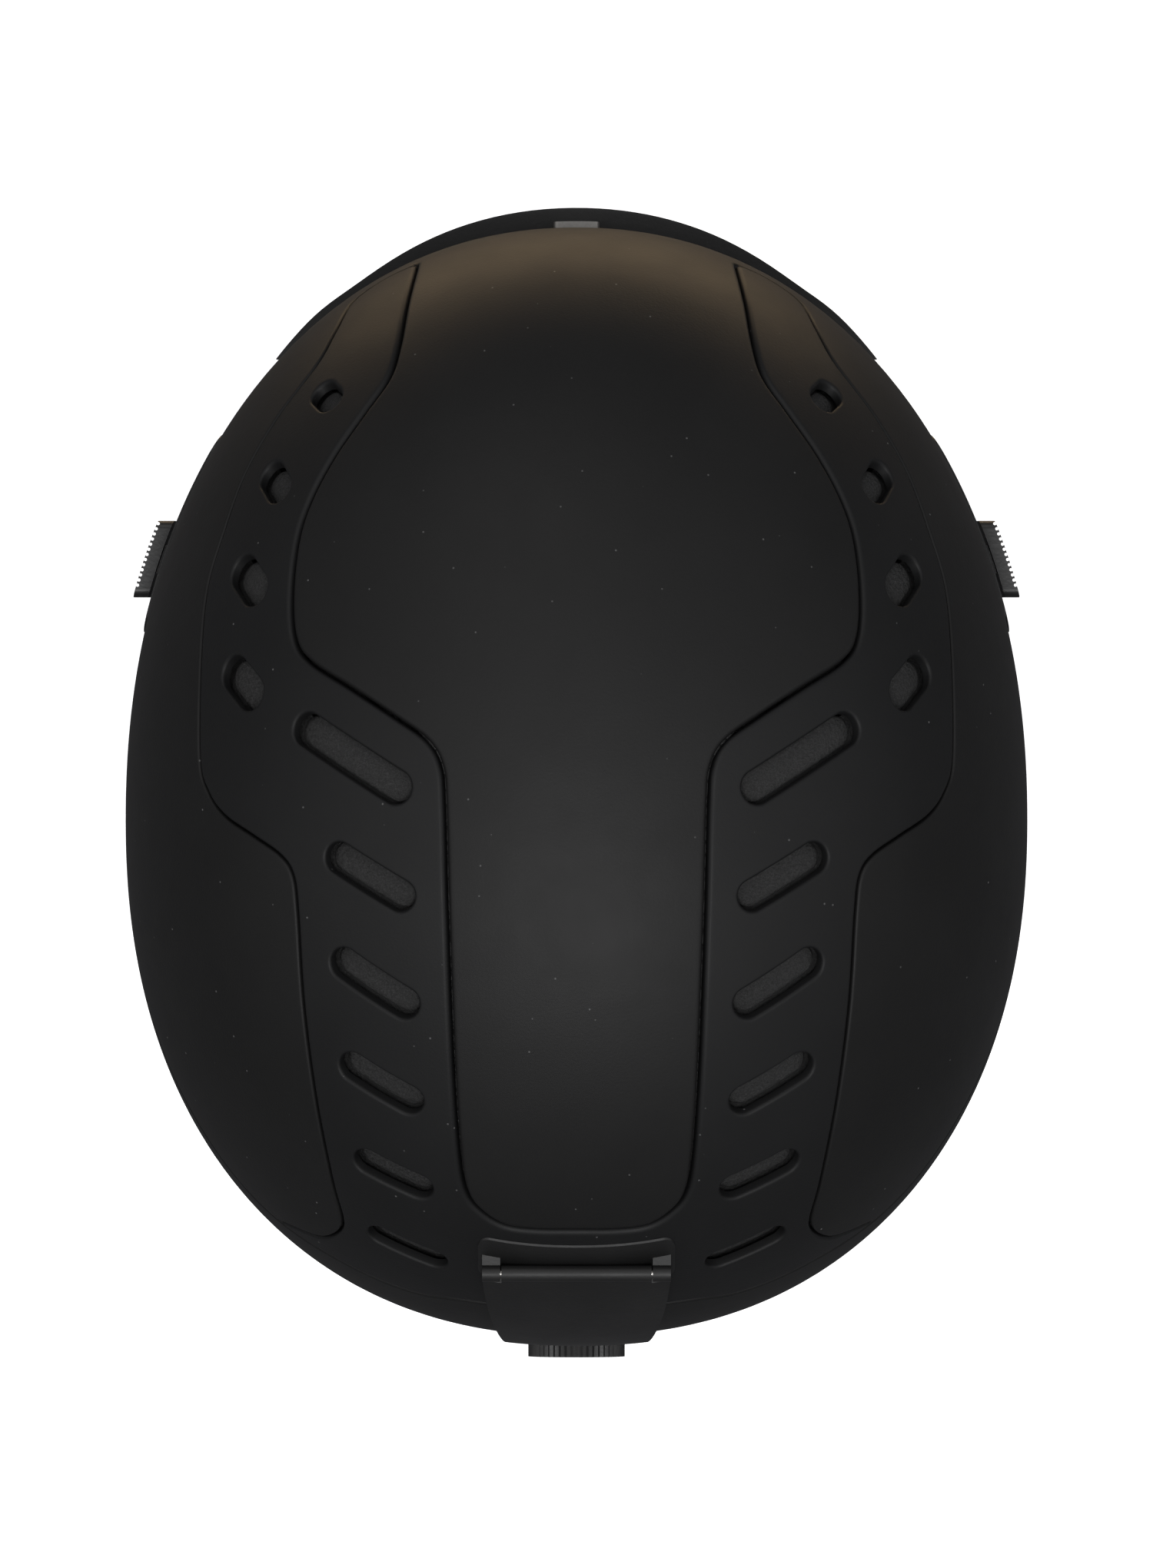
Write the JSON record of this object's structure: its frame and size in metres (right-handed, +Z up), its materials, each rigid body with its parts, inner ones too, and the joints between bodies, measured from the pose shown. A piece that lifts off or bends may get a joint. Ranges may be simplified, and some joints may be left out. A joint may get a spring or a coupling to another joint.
{
  "type": "ski helmet",
  "caption": "Hard-shell ski helmet with a crown tongue, side wings, inset vent rails with sliding shutters, rear goggle clip, fit dial, ear pads and buckled chin strap.",
  "frame": {"origin": "inside the head cavity on the vertical head axis, at the level where the shell is widest; the wearer's head holds it there", "axes": "+Z up through the crown, -Y towards the front of the helmet, +X towards the wearer's left"},
  "size_m": [0.222, 0.2841, 0.298],
  "materials": {
    "shell_coat": "matte",
    "vent_panel_coat": "matte",
    "lower_shell_coat": "matte",
    "visor_plastic": "satin",
    "badge_metal": "satin",
    "trim_rubber": "matte",
    "impact_foam": "matte",
    "slider_plastic": "satin",
    "shutter_foam": "matte",
    "clip_plastic": "satin",
    "pin_steel": "satin",
    "dial_plastic": "satin",
    "band_nylon": "satin",
    "liner_fabric": "matte",
    "ear_fabric": "matte",
    "webbing": "matte",
    "buckle_plastic": "satin",
    "rivet_steel": "satin",
    "chin_fleece": "matte",
    "keeper_rubber": "matte"
  },
  "bodies": {
    "helmet": {"upper_shell": "shell_coat", "vent_shell": "vent_panel_coat", "lower_shell": "lower_shell_coat", "front_visor": "visor_plastic", "front_badge": "badge_metal", "edge_trim": "trim_rubber", "eps_liner": "impact_foam", "slider_track_left": "slider_plastic", "slider_track_right": "slider_plastic", "goggle_clip_base": "clip_plastic", "clip_hinge_pin": "pin_steel", "dial_housing": "dial_plastic", "brow_pad": "liner_fabric", "crown_pad": "liner_fabric", "side_pad_left": "liner_fabric", "side_pad_right": "liner_fabric", "rear_pad": "liner_fabric", "nape_pad": "liner_fabric", "ear_pad_left": "ear_fabric", "ear_pad_right": "ear_fabric", "front_strap_left": "webbing", "front_strap_right": "webbing", "rear_strap_left": "webbing", "rear_strap_right": "webbing", "strap_divider_left": "buckle_plastic", "strap_divider_right": "buckle_plastic", "strap_anchors": "rivet_steel"},
    "slider_left": {"vent_slider_left": "slider_plastic"},
    "slider_right": {"vent_slider_right": "slider_plastic"},
    "front_vents_left": {"front_shutter_left": "shutter_foam"},
    "front_vents_right": {"front_shutter_right": "shutter_foam"},
    "rear_vents_left": {"rear_shutter_left": "shutter_foam"},
    "rear_vents_right": {"rear_shutter_right": "shutter_foam"},
    "clip": {"goggle_clip": "clip_plastic"},
    "dial": {"fit_dial": "dial_plastic", "dial_shaft": "dial_plastic"},
    "band_left": {"retention_band_left": "band_nylon"},
    "band_right": {"retention_band_right": "band_nylon"},
    "chin": {"chin_strap_left": "webbing", "chin_strap_right": "webbing", "buckle_female": "buckle_plastic", "buckle_male": "buckle_plastic", "chin_pad": "chin_fleece", "strap_keeper": "keeper_rubber"},
    "prong_front": {"buckle_prong_front": "buckle_plastic"},
    "prong_rear": {"buckle_prong_rear": "buckle_plastic"}
  },
  "joints": [
    {"name": "vent_slider_left", "type": "slide", "parent": "helmet", "child": "slider_left", "axis": [0.2962, 0.9551, 0], "range_m": [0, 0.0085]},
    {"name": "vent_slider_right", "type": "slide", "parent": "helmet", "child": "slider_right", "axis": [-0.2962, 0.9551, 0], "range_m": [0, 0.0085]},
    {"name": "front_shutter_left", "type": "hinge", "parent": "helmet", "child": "front_vents_left", "pos_m": [0, -0.0174, -0.0183], "axis": [-1, 0, 0], "range_deg": [0, 4.91]},
    {"name": "rear_shutter_left", "type": "hinge", "parent": "helmet", "child": "rear_vents_left", "pos_m": [0, 0.0044, -0.0167], "axis": [-1, 0, 0], "range_deg": [0, 4.23]},
    {"name": "front_shutter_right", "type": "hinge", "parent": "helmet", "child": "front_vents_right", "pos_m": [0, -0.0174, -0.0183], "axis": [-1, 0, 0], "range_deg": [0, 4.91]},
    {"name": "rear_shutter_right", "type": "hinge", "parent": "helmet", "child": "rear_vents_right", "pos_m": [0, 0.0044, -0.0167], "axis": [-1, 0, 0], "range_deg": [0, 4.23]},
    {"name": "goggle_clip_hinge", "type": "hinge", "parent": "helmet", "child": "clip", "pos_m": [0, 0.1108, 0.063], "axis": [1, 0, 0], "range_deg": [0, 60], "stiffness_Nm_per_rad": 0.02},
    {"name": "fit_dial_turn", "type": "hinge", "parent": "helmet", "child": "dial", "pos_m": [0, 0.1312, -0.041], "axis": [0, -1, 0], "range_deg": [0, 68.76]},
    {"name": "band_left_slide", "type": "slide", "parent": "helmet", "child": "band_left", "axis": [-1, 0, 0], "range_m": [0, 0.006]},
    {"name": "band_right_slide", "type": "slide", "parent": "helmet", "child": "band_right", "axis": [1, 0, 0], "range_m": [0, 0.006]},
    {"name": "chin_strap_swing", "type": "hinge", "parent": "helmet", "child": "chin", "pos_m": [0, 0.004, -0.104], "axis": [1, 0, 0], "range_deg": [-50, 35]},
    {"name": "prong_front_press", "type": "slide", "parent": "chin", "child": "prong_front", "axis": [0, 1, 0], "range_m": [0, 0.0022], "stiffness_N_per_m": 1500},
    {"name": "prong_rear_press", "type": "slide", "parent": "chin", "child": "prong_rear", "axis": [0, -1, 0], "range_m": [0, 0.0022], "stiffness_N_per_m": 1500}
  ],
  "couplings": [
    {"joint": "front_shutter_left", "follows": "vent_slider_left", "rad_per_m": 10.07},
    {"joint": "rear_shutter_left", "follows": "vent_slider_left", "rad_per_m": 8.673},
    {"joint": "front_shutter_right", "follows": "vent_slider_right", "rad_per_m": 10.07},
    {"joint": "rear_shutter_right", "follows": "vent_slider_right", "rad_per_m": 8.673},
    {"joint": "fit_dial_turn", "follows": "band_left_slide", "rad_per_m": 200},
    {"joint": "band_right_slide", "follows": "band_left_slide", "ratio": 1}
  ]
}
